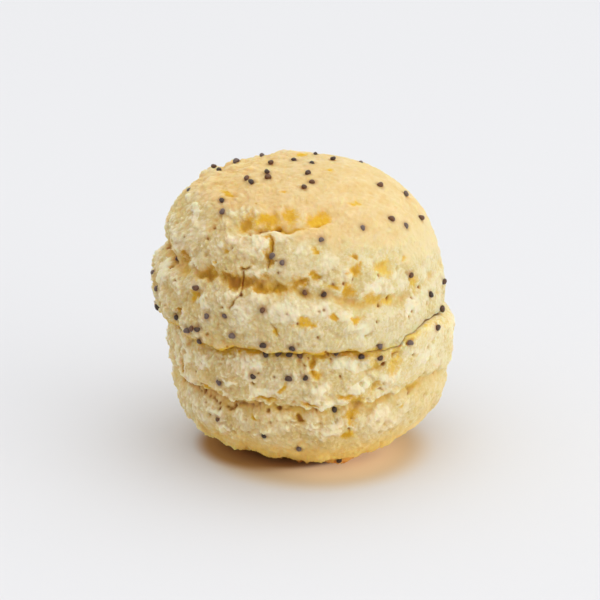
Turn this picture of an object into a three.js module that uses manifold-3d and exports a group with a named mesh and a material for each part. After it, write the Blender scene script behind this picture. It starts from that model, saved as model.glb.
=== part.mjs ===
// A poppy seed macaron: two craggy domed shells of pale baked dough, set base to base, with poppy seeds
// over them. Millimetres, +Z up. The stack stands on the flattened crown of the lower shell, the origin is
// in the middle of that flat foot, and -Y is the side that the front view sees.
import * as THREE from "three";
import { mergeVertices } from "three/addons/utils/BufferGeometryUtils.js";
import Module from "manifold-3d";

const wasm = await Module();
wasm.setup();

// ---- Driving dimensions ---------------------------------------------------------------------------------

const SEAM_HEIGHT = 24.6; // from the floor to the face where the two shells meet
const SEAM_GAP = 0.3; // left free between the two bases
const SEAM_WAVE = 0.35; // how far the seam wanders up and down
const FOOT_CUT = 0.5; // how much of the lower crown is flattened by standing on it
const DROOP = 0.35; // how far what stands out sags, as a share of how far it stands out

// A shell is a dome: a superellipse turned about its own axis, with a rounded lip at its base.
// The rings give a value at eight azimuths, 45 degrees apart: front, front right, right, back right, back,
// back left, left, front left. Levels are heights above the seam (below it on the lower shell).
// The first three rings widen the plain dome at its rim, its skirt and its shoulder.
const UPPER = {
  facing: 1, // crown up
  axis: [-0.5, 0.2],
  radius: 24.6,
  height: 25.3,
  slant: -0.03, // the crown stands higher on the left, by this much per millimetre
  squareness: 2.6,
  lip: 0.9,
  rim: [0.2, 0.2, 0.3, 0.2, 0.3, 0.0, -0.7, 0.1],
  skirt: [0.4, 0.5, 0.8, 0.3, 0.4, 0.4, 0.9, 0.6],
  shoulder: [-0.2, 0.2, 0.6, 0.2, 0.1, 0.4, 1.0, 0.5],
  waistLevel: [10.9, 7.4, 8.6, 10.4, 11.6, 12.2, 12.4, 11.4],
  waistDepth: [2.3, 1.3, 0.5, 1.5, 2.1, 2.1, 2.4, 2.7],
  crustEdge: [18.8, 13.5, 8.5, 13.5, 16.5, 17.5, 17.5, 17.5], // the smooth crown ends at this level
  salt: 3,
};
const LOWER = {
  facing: -1, // crown down
  axis: [1.3, 0.2],
  radius: 24.3,
  height: 24.3,
  slant: 0,
  squareness: 2.75,
  lip: 1.5,
  rim: [-1.0, -0.2, 0.6, 0.2, 0.0, 0.0, -0.6, -0.7],
  skirt: [-0.2, 0.3, 0.5, 0.4, 0.3, 0.1, -0.2, -0.1],
  shoulder: [0.1, 0.5, 0.9, 0.3, 0.2, 0.2, 0.6, 0.3],
  waistLevel: [9.9, 8.2, 8.6, 9.8, 10.4, 9.6, 8.6, 10.6],
  waistDepth: [2.7, 2.3, 0.3, 1.4, 2.0, 2.0, 2.3, 2.9],
  crustEdge: [18.5, 19.0, 19.0, 18.0, 18.5, 18.0, 18.0, 18.5],
  salt: 11,
};
const RIM = { level: 1, width: 3 };
const SKIRT = { level: 6.5, width: 4.5 };
const SHOULDER = { level: 16, width: 6 };
const WAIST_WIDTH = 1.5; // half width of the waist groove
const CRUST_BLEND = 3.0; // height over which the crags fade into the smooth crown
const LIP_BLEND = 2.2; // and into the lip that lay on the baking tray

// Torn furrows seen from the front, as routes in the front view, with half width and depth.
const FURROWS = [
  { shell: UPPER, width: 0.9, depth: 1.9, route: [[229, 222], [250, 229], [275, 231], [300, 229], [336, 219]] },
  { shell: UPPER, width: 0.8, depth: 1.5, route: [[271, 233], [270, 246], [265, 258], [270, 268]] },
  { shell: UPPER, width: 0.8, depth: 1.2, route: [[245, 268], [241, 286], [230, 303]] },
  { shell: UPPER, width: 1.2, depth: 1.3, route: [[352, 262], [366, 274], [384, 270]] },
  { shell: UPPER, width: 1.4, depth: 1.2, route: [[398, 340], [404, 334], [420, 326], [434, 316]] },
  { shell: LOWER, width: 1.1, depth: 1.7, route: [[398, 352], [386, 363], [368, 372], [372, 386]] },
  { shell: LOWER, width: 1.0, depth: 1.2, route: [[360, 400], [352, 418], [347, 434]] },
  { shell: LOWER, width: 1.3, depth: 1.1, route: [[312, 352], [310, 366], [314, 374]] },
  { shell: LOWER, width: 0.9, depth: 1.0, route: [[285, 424], [298, 421], [309, 408]] },
];

// Lumps of crumbly dough: cell size, how far a lump is lifted or sunk, and how deep the creases between
// the lumps are.
const LUMPS = [
  { size: 6.4, lift: 0.7, crease: 0.8 },
  { size: 3.3, lift: 0.2, crease: 0.2 },
];
const CROWN_SHARE = 0.22; // of the crags, this much is left on the smooth crown

// Poppy seeds. SEEN lists where the front view shows them; the others are scattered by a rule.
const SEED = { length: 1.35, width: 1.1, depth: 1.0, sink: 0.05, spacing: 2.6 };
const SEEN_UPPER = [
  [315, 153], [262, 156], [236, 162], [271, 164], [294, 161], [312, 164], [333, 160], [361, 163],
  [214, 168], [219, 171], [267, 173], [268, 178], [308, 174], [247, 179], [251, 183], [312, 183],
  [304, 188], [380, 186], [405, 195], [222, 201], [222, 212], [189, 190], [391, 220], [406, 226],
  [421, 219], [363, 228], [321, 240], [272, 256], [282, 263], [153, 273], [157, 289], [196, 288],
  [158, 307], [177, 318], [207, 317], [225, 316], [232, 336], [263, 310], [305, 292], [324, 294],
  [263, 346], [292, 348], [343, 343], [410, 275], [443, 282], [430, 295], [441, 309],
];
const SEEN_LOWER = [
  [187, 331], [192, 329], [197, 330], [200, 341], [266, 354], [278, 353], [290, 355], [300, 355],
  [336, 354], [361, 357], [380, 358], [437, 328], [410, 343], [253, 376], [219, 383], [289, 378],
  [306, 378], [194, 358], [223, 406], [218, 420], [264, 436], [234, 433], [298, 425], [335, 409],
  [299, 449], [339, 460],
];
const SCATTERED = { upper: 62, lower: 34 };
const HIDDEN_FROM = 100; // degrees round from the front, where the front view shows nothing

// The front view: looking 19 degrees down from a distance at the middle of the stack.
const VIEW = { elevation: 19, distance: 400, aim: 24.9, centre: [300, 307], perMillimetre: 5.9 };

// ---- Small helpers --------------------------------------------------------------------------------------

const radians = THREE.MathUtils.degToRad;
const fraction = (x) => x - Math.floor(x);
const clamp = THREE.MathUtils.clamp;
const smooth = (x) => {
  const t = clamp(x, 0, 1);
  return t * t * (3 - 2 * t);
};

// A number from 0 to 1 that looks random but is always the same for the same four whole numbers.
const speckle = (i, j, k, salt) =>
  fraction(Math.sin(i * 127.1 + j * 311.7 + k * 74.7 + salt * 53.3) * 43758.5453);

// The value of a ring of eight numbers at an azimuth in radians, on a smooth closed curve through them.
function aroundRing(ring, azimuth) {
  const x = fraction(azimuth / (2 * Math.PI)) * ring.length;
  const i = Math.floor(x);
  const t = x - i;
  const [a, b, c, d] = [-1, 0, 1, 2].map((step) => ring[(i + step + ring.length) % ring.length]);
  return b + 0.5 * t * (c - a + t * (2 * a - 5 * b + 4 * c - d + t * (3 * (b - c) + d - a)));
}

// A slow swell in space, from -1 to 1, made of three crossed waves.
const sway = (p, size, salt) =>
  (Math.sin(p.x / size + 1.7 * salt) +
    Math.sin(p.y / size + 2.9 * salt + 0.6 * p.z / size) +
    Math.sin(p.z / size + 4.1 * salt + 0.5 * p.x / size)) / 3;

// ---- Shape of a shell -----------------------------------------------------------------------------------

// The plain dome at a polar angle (0 at the crown, 90 degrees at the lip): distance from the axis and level.
function dome(shell, polar) {
  const n = shell.squareness;
  const s = Math.max(Math.sin(polar), 0);
  const c = Math.max(Math.cos(polar), 0);
  const reach = ((s / shell.radius) ** n + (c / shell.height) ** n) ** (-1 / n);
  const level = reach * c;
  const below = Math.max(shell.lip - level, 0);
  const tuck = shell.lip - Math.sqrt(Math.max(shell.lip ** 2 - below ** 2, 0));
  return { radius: reach * s - tuck, level };
}

// The seam's own height above or below its mean, at a place on the seam.
const seamWave = (x, y) => SEAM_WAVE * (Math.sin(x / 9 + 0.4) * Math.cos(y / 11) + 0.4 * Math.sin(y / 6 + x / 8));

// A point of a shell, from its azimuth, distance from the shell's axis, and level above its base.
function place(shell, azimuth, radius, level) {
  const x = shell.axis[0] + radius * Math.sin(azimuth);
  const y = shell.axis[1] - radius * Math.cos(azimuth);
  const z = SEAM_HEIGHT + seamWave(x, y) + shell.facing * (SEAM_GAP / 2 + level);
  return new THREE.Vector3(x, y, z);
}

// The point on the plain dome that the front view shows at a picture point, by following the line of sight.
function seen(shell, [px, py]) {
  const e = radians(VIEW.elevation);
  const right = (px - VIEW.centre[0]) / VIEW.perMillimetre;
  const up = (VIEW.centre[1] - py) / VIEW.perMillimetre;
  const eye = new THREE.Vector3(0, -Math.cos(e), Math.sin(e)).multiplyScalar(VIEW.distance);
  const onPlane = new THREE.Vector3(right, up * Math.sin(e), up * Math.cos(e));
  const line = onPlane.sub(eye).normalize();
  eye.z += VIEW.aim;
  const inside = (p) => {
    const r = Math.hypot(p.x - shell.axis[0], p.y - shell.axis[1]) / shell.radius;
    const h = Math.abs(p.z - SEAM_HEIGHT) / shell.height;
    return r ** shell.squareness + h ** shell.squareness;
  };
  let nearest = null;
  for (let s = VIEW.distance - 40; s < VIEW.distance + 10; s += 0.1) {
    const p = eye.clone().addScaledVector(line, s);
    const value = inside(p);
    if (!nearest || value < nearest.value) nearest = { p, value };
    if (value <= 1) break;
  }
  return nearest.p;
}

// Distance from a point to a route of straight stretches.
function distanceTo(route, p) {
  let least = Infinity;
  for (let i = 1; i < route.length; i += 1) {
    const stretch = new THREE.Line3(route[i - 1], route[i]);
    const on = stretch.closestPointToPoint(p, true, new THREE.Vector3());
    least = Math.min(least, on.distanceTo(p));
  }
  return least;
}

// Lumpy relief at a point: each cell of space is one lump with its own lift, and a crease runs between cells.
function lumps(p, { size, lift, crease }, salt) {
  const q = p.clone().divideScalar(size);
  const [ix, iy, iz] = [Math.floor(q.x), Math.floor(q.y), Math.floor(q.z)];
  let [first, second, own] = [Infinity, Infinity, 0];
  for (let i = ix - 1; i <= ix + 1; i += 1)
    for (let j = iy - 1; j <= iy + 1; j += 1)
      for (let k = iz - 1; k <= iz + 1; k += 1) {
        const heart = new THREE.Vector3(
          i + speckle(i, j, k, salt),
          j + speckle(i, j, k, salt + 1),
          k + speckle(i, j, k, salt + 2),
        );
        const d = heart.distanceTo(q);
        if (d < first) {
          [first, second] = [d, first];
          own = speckle(i, j, k, salt + 3) * 2 - 1;
        } else if (d < second) second = d;
      }
  const edge = second - first;
  return lift * own * smooth(edge / 0.35) - crease * Math.exp(-((edge / 0.24) ** 2));
}

const routes = FURROWS.map((f) => ({ ...f, route: f.route.map((at) => seen(f.shell, at)) }));

// How far the dough stands out from the plain dome, at a point of the dome.
function relief(shell, azimuth, level, p) {
  const rough = smooth((aroundRing(shell.crustEdge, azimuth) - level) / CRUST_BLEND) * (1 - CROWN_SHARE) + CROWN_SHARE;
  const nearLip = smooth(level / LIP_BLEND);
  let out = 0.35 * sway(p, 4.2, shell.salt);
  for (const [ring, band] of [[shell.rim, RIM], [shell.skirt, SKIRT], [shell.shoulder, SHOULDER]])
    out += aroundRing(ring, azimuth) * Math.exp(-(((level - band.level) / band.width) ** 2));
  const bent = p.clone().addScalar(0.9 * sway(p, 2.1, shell.salt + 5));
  for (const kind of LUMPS) out += rough * (0.35 + 0.65 * nearLip) * lumps(bent, kind, shell.salt);
  const offWaist = level - aroundRing(shell.waistLevel, azimuth) - 0.8 * sway(p, 2.6, shell.salt + 2);
  out -= aroundRing(shell.waistDepth, azimuth) / (1 + (offWaist / WAIST_WIDTH) ** 2) ** 1.5;
  for (const furrow of routes)
    if (furrow.shell === shell) {
      const d = distanceTo(furrow.route, p);
      out -= furrow.depth / (1 + (d / furrow.width) ** 2) ** 1.5;
    }
  return out;
}

const DOME_SHARE = 0.84; // of the way from crown to base centre along a sphere's meridian, the dome takes this much

// A point of the finished surface from a direction of the unit sphere: the dome first, then the flat base.
function shellPoint(shell, direction) {
  const azimuth = Math.atan2(direction.x, -direction.y);
  const way = Math.acos(clamp(direction.z * shell.facing, -1, 1)) / Math.PI;
  const edge = dome(shell, Math.PI / 2).radius;
  if (way >= DOME_SHARE) return place(shell, azimuth, (edge * (1 - way)) / (1 - DOME_SHARE), 0);
  const { radius, level } = dome(shell, ((way / DOME_SHARE) * Math.PI) / 2);
  const p = place(shell, azimuth, radius, level);
  const out = relief(shell, azimuth, level, p) * smooth(level / 0.6) * smooth((radius - 4) / 5);
  const lean = Math.atan2(radius / shell.radius ** 1.1, (level * 0.8 + 2) / shell.height ** 1.1);
  const moved = place(shell, azimuth, radius + out * Math.sin(lean), Math.max(level + out * Math.cos(lean), 0));
  moved.z += shell.slant * moved.x * (level / shell.height) ** 2;
  moved.z -= DROOP * out * Math.sin(lean) * smooth(level / 3);
  moved.z = Math.max(moved.z, FOOT_CUT);
  return moved;
}

// The shell's surface: a finely divided icosahedron, each corner moved to its place on the dough.
const DIVISIONS = 14;
function shellGeometry(shell) {
  const ball = new THREE.IcosahedronGeometry(1, DIVISIONS);
  ball.deleteAttribute("normal");
  ball.deleteAttribute("uv");
  const geometry = mergeVertices(ball, 1e-5);
  const corners = geometry.getAttribute("position");
  for (let i = 0; i < corners.count; i += 1) {
    const direction = new THREE.Vector3().fromBufferAttribute(corners, i).normalize();
    corners.setXYZ(i, ...shellPoint(shell, direction));
  }
  geometry.translate(0, 0, -FOOT_CUT);
  return geometry;
}

// Facets that stray less than this from one plane are merged into one.
const COARSENESS = 0.02;

// ---- Seeds ----------------------------------------------------------------------------------------------

// One seed: a small spindle of ten facets, turned by three drawn angles.
function seedGeometry(at, draw) {
  const seed = mergeVertices(stripped(new THREE.SphereGeometry(0.5, 5, 2)), 1e-4);
  seed.scale(SEED.width, SEED.length, SEED.depth);
  seed.applyQuaternion(new THREE.Quaternion().setFromEuler(new THREE.Euler(draw() * 6, draw() * 6, draw() * 6)));
  seed.translate(at.x, at.y, at.z);
  return seed;
}

function stripped(geometry) {
  geometry.deleteAttribute("normal");
  geometry.deleteAttribute("uv");
  return geometry;
}

// Where seeds lie on a shell: those that the front view shows, then drawn ones on the sides that it hides.
function seedPlaces(shell, surface, shown, extra) {
  const mesh = new THREE.Mesh(surface, new THREE.MeshBasicMaterial({ side: THREE.DoubleSide }));
  const heart = new THREE.Vector3(shell.axis[0], shell.axis[1], SEAM_HEIGHT + shell.facing * 8);
  const onDough = (towards) => {
    const away = towards.clone().sub(heart).normalize();
    const caster = new THREE.Raycaster(heart.clone().addScaledVector(away, 60), away.clone().negate());
    const [hit] = caster.intersectObject(mesh);
    return hit.point.addScaledVector(away, SEED.sink);
  };
  const places = shown.map((at) => onDough(seen(shell, at)));
  for (let n = 0, found = 0; found < extra && n < 4000; n += 1) {
    const azimuth = (speckle(n, 1, 0, shell.salt) * 2 - 1) * Math.PI;
    const height = speckle(n, 2, 0, shell.salt);
    const polar = Math.acos(height ** 0.8);
    const { radius, level } = dome(shell, polar);
    const p = onDough(place(shell, azimuth, radius, level));
    const hidden = Math.abs(azimuth) > radians(HIDDEN_FROM) || radius < 9;
    const apart = places.every((q) => q.distanceTo(p) > SEED.spacing);
    if (level > 1.2 && hidden && apart && p.z > SEED.length) {
      places.push(p);
      found += 1;
    }
  }
  return places;
}

// ---- Solids ---------------------------------------------------------------------------------------------

const solidOf = (geometry) =>
  new wasm.Manifold(
    new wasm.Mesh({
      numProp: 3,
      vertProperties: new Float32Array(geometry.getAttribute("position").array),
      triVerts: new Uint32Array(geometry.index.array),
    }),
  );

function geometryOf(solid) {
  const { vertProperties, triVerts } = solid.getMesh();
  const geometry = new THREE.BufferGeometry();
  geometry.setAttribute("position", new THREE.BufferAttribute(vertProperties, 3));
  geometry.setIndex(new THREE.BufferAttribute(triVerts, 1));
  return geometry;
}

// The dough with its seeds baked into it, as one solid.
function seededShell(shell, shown, extra) {
  const surface = shellGeometry(shell);
  let solid = solidOf(surface);
  let turn = 0;
  const draw = () => speckle((turn += 1), 0, 0, shell.salt + 7);
  const clear = SEAM_HEIGHT - FOOT_CUT + shell.facing * (SEAM_GAP / 2 + SEED.length / 2 + SEAM_WAVE);
  for (const at of seedPlaces(shell, surface, shown, extra)) {
    at.z = shell.facing > 0 ? Math.max(at.z, clear) : Math.min(at.z, clear);
    solid = solid.add(solidOf(seedGeometry(at, draw)));
  }
  const whole = solid.decompose().sort((a, b) => b.volume() - a.volume())[0];
  return geometryOf(whole.simplify(COARSENESS));
}

// ---- The object -----------------------------------------------------------------------------------------

const crust = new THREE.MeshStandardMaterial({ color: 0xecd9a4, roughness: 0.85, metalness: 0 });

function shellNode(name, shell, shown, extra) {
  const mesh = new THREE.Mesh(seededShell(shell, shown, extra), crust);
  mesh.name = name;
  return mesh;
}

const macaron = new THREE.Group();
macaron.add(shellNode("upper_shell", UPPER, SEEN_UPPER, SCATTERED.upper));
macaron.add(shellNode("lower_shell", LOWER, SEEN_LOWER, SCATTERED.lower));

export default macaron;
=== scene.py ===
"""A poppy seed macaron: two craggy domed shells of pale baked dough, set base to base, with poppy seeds
over them. The shapes are worked out in millimetres and become metres where a mesh is made. The stack
stands on the flattened crown of the lower shell, and -Y is the side that the camera sees."""
import math

import bpy
import numpy as np
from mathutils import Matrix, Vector
from mathutils.bvhtree import BVHTree


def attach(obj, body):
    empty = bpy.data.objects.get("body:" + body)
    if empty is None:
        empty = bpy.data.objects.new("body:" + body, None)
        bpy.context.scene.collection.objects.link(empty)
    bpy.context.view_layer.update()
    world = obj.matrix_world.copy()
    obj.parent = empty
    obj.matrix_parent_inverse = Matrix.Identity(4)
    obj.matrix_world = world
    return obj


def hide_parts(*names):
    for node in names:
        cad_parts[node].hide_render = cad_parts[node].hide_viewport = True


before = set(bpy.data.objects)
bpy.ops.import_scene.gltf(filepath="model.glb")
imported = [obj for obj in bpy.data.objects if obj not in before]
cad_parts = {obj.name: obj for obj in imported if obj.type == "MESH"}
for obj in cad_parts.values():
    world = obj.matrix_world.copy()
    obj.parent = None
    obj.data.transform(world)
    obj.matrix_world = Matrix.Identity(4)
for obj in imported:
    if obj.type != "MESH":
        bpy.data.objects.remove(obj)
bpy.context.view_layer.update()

MM = 0.001

# ---- The stack: the same named sizes as the solids have ---------------------------------------------------

SEAM_HEIGHT = 24.6
SEAM_GAP = 0.1
SEAM_WAVE = 0.35
SEAM_FRAY = 0.45
# The golden band along the seam is painted shade, for the shadow under the upper shell's lip; the crease beside it is
# cut into the dough and also gets painted brown shade.
SEAM_SHADE_BAND = (0.5, 1.7)  # height of the golden band at the front along the upper and the lower side of the seam
SEAM_CRACK = (0.5, 0.7)  # depth and height of the dark crease along each side of the seam
SEAM_FADE = (12.0, 5.0)  # how far to the right gold and crease begin to fade, and over how far
GOLD_FADE = 0.6  # of the seam's gold, this much fades
CREASE_FADE = 0.92  # and this much of its crease
# How far the seam rises or sinks at the front, at distances to the right of the middle.
SEAM_LINE = (
    (-25, 0.3), (-23, 1.3), (-19.5, 1.2), (-17.5, 0.2), (-14, 0.0), (-10, 0.4), (0, 0.6), (8, 0.5),
    (13, 0.3), (15.6, -0.3), (16.2, -0.3), (17.0, 1.0), (18.3, 1.5), (20.3, 1.9), (22.2, 2.0), (24, 1.0), (26, 0.0),
)
FOOT_CUT = 0.5
FOOT_FLAT = 1.6  # the dough is pressed flat below this height
DROOP = 0.35

# Rings give a value at eight azimuths, 45 degrees apart, from the front round by the right. Levels are
# heights above the seam (below it on the lower shell).
UPPER = dict(
    facing=1,
    axis=(-0.5, 0.2),
    radius=24.6,
    height=25.6,
    slant=-0.03,
    lean=0.0,
    squareness=2.6,
    lip=(0.9, 0.4, 0.15, 0.5, 0.9, 0.9, 0.9, 0.9),
    rim=(0.2, 0.2, 0.3, 0.2, 0.3, 0.0, -0.1, 0.2),
    skirt=(0.4, 0.5, 0.8, 0.3, 0.4, 0.4, 0.5, 0.6),
    shoulder=(-0.2, 0.2, 0.6, 0.2, 0.1, 0.4, 1.0, 0.5),
    waist_level=(10.9, 7.4, 8.6, 10.4, 11.6, 12.2, 12.6, 11.4),
    waist_depth=(1.7, 1.0, 0.5, 1.4, 1.8, 1.8, 2.6, 1.3),
    waist_width=(1.5, 1.5, 1.5, 1.5, 1.5, 1.5, 2.4, 1.5),
    crust_edge=(18.8, 13.5, 9.5, 13.5, 16.5, 18.5, 21.0, 20.5),
    calm=(-9.0, 0.42),
    salt=3,
)
LOWER = dict(
    facing=-1,
    axis=(1.3, 0.2),
    radius=24.3,
    height=24.3,
    slant=0.0,
    lean=1.2,
    squareness=2.75,
    lip=(1.3, 0.6, 1.8, 1.5, 1.5, 1.5, 1.5, 1.5),
    rim=(-1.0, 0.3, 0.8, 0.2, 0.0, 0.0, -0.6, -0.7),
    skirt=(-0.2, 0.3, 0.5, 0.4, 0.3, 0.1, -0.2, -0.1),
    shoulder=(0.1, 0.5, 0.9, 0.3, 0.2, 0.2, 0.6, 0.3),
    waist_level=(11.1, 9.4, 9.2, 10.2, 10.8, 10.0, 9.2, 11.6),
    waist_depth=(1.5, 1.3, 0.3, 1.0, 1.4, 1.4, 2.0, 1.9),
    waist_width=(1.5,) * 8,
    crust_edge=(18.5, 19.0, 19.0, 18.0, 18.5, 18.0, 18.0, 18.5),
    calm=(2.0, 0.35),
    salt=11,
)
RIM = (1.0, 3.0)  # level and width of the band that each ring widens
SKIRT = (6.5, 4.5)
SHOULDER = (16.0, 6.0)
CRUST_BLEND = 5.0
CROWN_SHARE = 0.7

# The tear across the crown: a thin crack, below which the torn dough's own edge stands up.
TEAR_ROUTE = (
    (236, 228), (241, 232), (257, 232), (263, 231), (274, 228),
    (283, 229), (289, 232), (306, 230), (316, 225), (338, 221),
)
TEAR_WIDTH = 0.38
TEAR_DEPTH = 0.9
BASIN = (0.3, 2.6)  # depth and reach of the sunken dough above the crack
EDGE_LIFT = 0.3
EDGE_REACH = 2.2

# Cracks: half width, depth, and route in pixels of the front view.
CRACKS_UPPER = (
    (0.35, 0.65, ((268, 238), (270, 242), (271, 250), (269, 256), (270, 266))),
    (0.35, 0.65, ((248, 267), (243, 270), (242, 274), (245, 286), (237, 297), (231, 302), (228, 309))),
    (0.35, 0.35, ((299, 283), (310, 281), (318, 278))),
    (0.3, 0.5, ((272, 325), (276, 331), (279, 336))),
    (0.3, 0.5, ((366, 338), (372, 335))),
    (0.5, 0.15, ((396, 352), (398, 340), (404, 334), (420, 326), (434, 316))),
)
CRACKS_LOWER = (
    (0.75, 0.5, ((398, 352), (386, 363), (368, 372), (372, 386))),
    (0.45, 0.2, ((362, 400), (356, 410), (350, 420), (347, 434))),
    (0.45, 0.4, ((312, 352), (310, 366), (314, 374))),
    (0.3, 0.4, ((285, 427), (292, 424), (299, 424), (302, 428))),
    (0.3, 0.4, ((302, 403), (306, 406), (311, 410), (315, 413))),
    (0.35, 0.6, ((214, 402), (221, 405), (228, 408), (234, 411), (238, 408))),
    (0.3, 0.4, ((184, 381), (196, 388), (206, 395), (214, 400))),
    (0.25, 0.5, ((222, 424), (229, 429), (235, 434))),
    (0.25, 0.4, ((314, 423), (321, 423))),
    (0.25, 0.4, ((331, 425), (336, 422), (342, 421))),
    (0.3, 0.25, ((366, 392), (374, 389), (384, 391), (398, 387), (420, 389))),
    (0.35, 0.25, ((240, 405), (262, 404), (282, 408), (292, 404))),
)

# Hollows with golden or brown painted shade in them: middle in pixels of the front view, half width and half height
# in millimetres, depth, and how brown the painted shade is, from 0 for yellow to 1.
HOLLOWS_UPPER = (
    (247, 222, 1.4, 1.6, 0.4, 0.5), (268, 219, 2.2, 1.3, 0.3, 0.1), (290, 213, 1.1, 1.9, 0.3, 0.2),
    (317, 219, 1.5, 1.3, 0.5, 0.0), (327, 218, 1.0, 1.0, 0.3, 0.0), (284, 228, 4.0, 0.5, 0.3, 0.4),
    (265, 235, 0.8, 0.7, 0.4, 0.2), (272, 244, 0.6, 1.2, 0.4, 0.25), (267, 257, 0.8, 1.4, 0.5, 0.7),
    (182, 257, 1.3, 0.7, 0.2, 0.7), (205, 275, 2.0, 0.8, 0.7, 0.7), (232, 280, 3.4, 1.0, 0.7, 0.8),
    (245, 268, 0.9, 0.5, 0.7, 1.0), (262, 285, 1.8, 0.9, 0.6, 0.6), (277, 289, 1.2, 0.6, 0.5, 0.5),
    (300, 285, 1.8, 0.8, 0.6, 0.6), (315, 278, 0.6, 0.5, 0.6, 0.3), (225, 255, 0.5, 0.4, 0.5, 0.3),
    (213, 262, 0.6, 0.4, 0.5, 0.3), (186, 275, 0.7, 0.5, 0.5, 0.3), (194, 295, 1.0, 0.6, 0.5, 0.2),
    (179, 310, 0.6, 0.7, 0.5, 0.6), (357, 270, 1.1, 0.9, 0.6, 0.3), (353, 257, 0.7, 0.5, 0.4, 0.5),
    (385, 268, 1.7, 1.2, 0.8, 0.1), (350, 288, 0.7, 0.9, 0.5, 0.3), (335, 285, 1.6, 0.6, 0.4, 0.1),
    (372, 299, 1.7, 0.8, 0.5, 0.2), (388, 300, 1.6, 0.8, 0.3, 0.0), (413, 282, 0.9, 1.4, 0.5, 0.2),
    (403, 258, 0.6, 0.5, 0.5, 0.0), (306, 323, 1.5, 0.8, 0.4, 0.0), (334, 319, 0.6, 0.4, 0.4, 0.2),
    (355, 321, 0.9, 0.7, 0.4, 0.1), (276, 335, 0.5, 0.7, 0.4, 0.2), (318, 249, 0.9, 0.5, 0.2, 0.2),
    (354, 202, 0.8, 0.6, 0.2, 0.1),
    (282, 191, 1.0, 0.4, 0.2, 0.2), (331, 171, 0.7, 0.7, 0.1, 0.0), (303, 154, 1.1, 1.2, 0.1, 0.1),
    (256, 204, 0.3, 0.3, 0.3, 0.9), (228, 195, 1.6, 0.6, 0.2, 0.2), (196, 179, 1.2, 0.5, 0.2, 0.2),
)
HOLLOWS_LOWER = (
    (413, 334, 2.3, 0.8, 0.3, 0.2), (429, 323, 1.7, 0.8, 0.2, 0.1), (403, 341, 0.9, 0.7, 0.5, 0.3),
    (396, 354, 0.8, 1.0, 0.7, 0.4), (394, 366, 1.5, 1.4, 0.4, 0.2), (376, 369, 1.2, 0.8, 0.4, 0.3),
    (175, 325, 1.6, 0.8, 0.6, 0.6), (217, 353, 2.2, 1.0, 0.5, 0.5), (180, 368, 0.9, 0.9, 0.6, 0.6),
    (205, 392, 1.8, 0.6, 0.4, 0.4), (226, 407, 1.6, 0.5, 0.5, 0.9), (262, 404, 2.2, 0.8, 0.4, 0.4),
    (309, 406, 1.4, 0.6, 0.4, 0.4), (359, 404, 1.6, 1.5, 0.5, 0.25), (352, 421, 1.0, 1.2, 0.4, 0.2),
    (347, 435, 1.2, 0.7, 0.4, 0.1), (254, 424, 0.5, 0.6, 0.4, 0.3), (298, 424, 0.7, 0.5, 0.7, 1.0),
    (376, 388, 1.1, 0.7, 0.6, 0.4), (419, 389, 1.2, 0.6, 0.5, 0.3), (406, 407, 0.5, 0.5, 0.3, 0.2),
    (347, 354, 2.8, 0.9, 0.4, 0.65), (364, 355, 1.5, 0.8, 0.5, 0.4), (378, 352, 1.6, 0.6, 0.5, 0.3),
    (250, 354, 3.0, 0.6, 0.15, 0.0), (326, 355, 0.8, 0.8, 0.3, 0.5), (304, 356, 0.8, 0.6, 0.3, 0.4),
    (315, 379, 0.9, 0.6, 0.4, 0.3), (344, 398, 1.2, 0.5, 0.4, 0.3),
    (282, 391, 0.4, 0.6, 0.3, 0.2), (312, 366, 0.7, 1.0, 0.4, 0.3),
)

# Blocks of dough that stand out a little, with painted highlight that keeps them palest: middle in pixels of the front
# view, half width and half height in millimetres, and lift.
BLOCKS_UPPER = (
    (208, 169, 1.6, 1.8, 0.9), (284, 150, 1.2, 1.4, 0.4), (306, 149, 0.9, 1.4, 0.5),
    (257, 219, 0.7, 1.8, 0.35), (280, 209, 0.8, 1.2, 0.3), (303, 219, 0.9, 2.2, 0.35), (200, 215, 2.2, 2.2, 0.32),
    (246, 321, 1.8, 1.2, 0.25), (341, 311, 2.4, 1.6, 0.25), (216, 244, 2.0, 1.5, 0.25),
    (261, 243, 1.3, 1.2, 0.35), (277, 237, 1.5, 0.8, 0.35), (233, 241, 1.7, 1.0, 0.25), (212, 246, 1.3, 1.2, 0.25),
    (228, 291, 2.0, 1.4, 0.12), (253, 284, 0.7, 2.2, 0.3), (265, 271, 1.4, 1.2, 0.25), (192, 263, 1.5, 1.2, 0.25),
    (163, 270, 1.5, 2.6, 0.3), (241, 313, 1.5, 1.7, 0.3), (283, 314, 2.4, 1.6, 0.3), (202, 304, 2.0, 1.1, 0.3),
    (345, 274, 1.2, 0.6, 0.3), (400, 277, 1.3, 1.6, 0.35), (364, 331, 1.4, 1.1, 0.3), (373, 287, 1.6, 0.8, 0.2),
    (331, 262, 2.2, 1.6, 0.1), (296, 247, 2.0, 1.6, 0.25), (410, 305, 2.2, 1.8, 0.3), (325, 308, 2.0, 1.4, 0.25),
)
BLOCKS_LOWER = (
    (184, 355, 1.6, 1.8, 0.25),
    (235, 388, 2.6, 0.9, 0.3), (262, 396, 2.0, 0.7, 0.25), (360, 387, 1.7, 1.1, 0.3), (320, 388, 2.2, 1.0, 0.25),
    (200, 366, 1.6, 1.6, 0.25), (250, 365, 2.2, 1.2, 0.2), (288, 363, 1.6, 1.2, 0.2), (345, 367, 2.2, 1.2, 0.3),
    (425, 352, 2.2, 2.0, 0.3), (393, 377, 2.0, 1.2, 0.3), (235, 420, 2.4, 1.2, 0.12), (272, 417, 1.8, 1.2, 0.2),
    (322, 433, 2.8, 1.4, 0.25), (330, 412, 2.0, 1.2, 0.25), (380, 410, 2.6, 1.6, 0.15), (398, 400, 1.4, 1.4, 0.2),
)

BLOCK_SHARE = 0.7  # of the lift given for the blocks
CALM_REACH = 14.0  # the dough grows calmer over this far to the right
LIVELY_START = -4.0  # and livelier to the left of this, over the same reach
LIVELY_LEFT = 0.4  # by up to this share
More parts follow.
